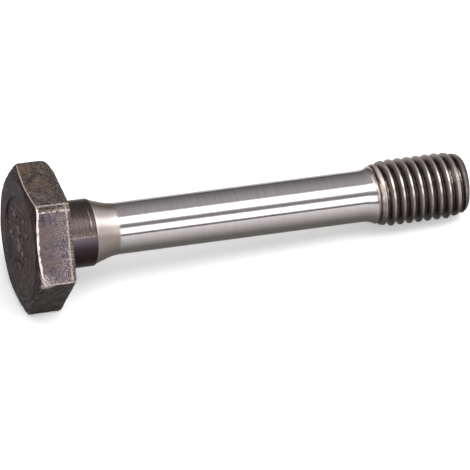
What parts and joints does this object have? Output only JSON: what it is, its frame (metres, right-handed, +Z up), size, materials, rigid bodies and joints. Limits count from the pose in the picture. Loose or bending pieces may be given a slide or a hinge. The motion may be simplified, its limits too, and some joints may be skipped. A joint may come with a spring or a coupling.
{
  "type": "mower blade bolt",
  "caption": "Long bolt with a wide thin hexagon head, locating collar, necked-down ground shank and short coarse right-hand thread.",
  "frame": {"origin": "centre of the bolt's bounding box, on the floor it lies on", "axes": "+X along the bolt towards the threaded end, +Z up; the bolt lies at rest on a flat of its head and on its thread, so its axis dips 4.5 degrees towards the thread"},
  "size_m": [0.111, 0.0358, 0.0319],
  "materials": {
    "forged_steel": "dark forged head and collar, bright ground shank, oily dark thread"
  },
  "bodies": {
    "root": {"blade_bolt": "forged_steel"}
  },
  "joints": []
}
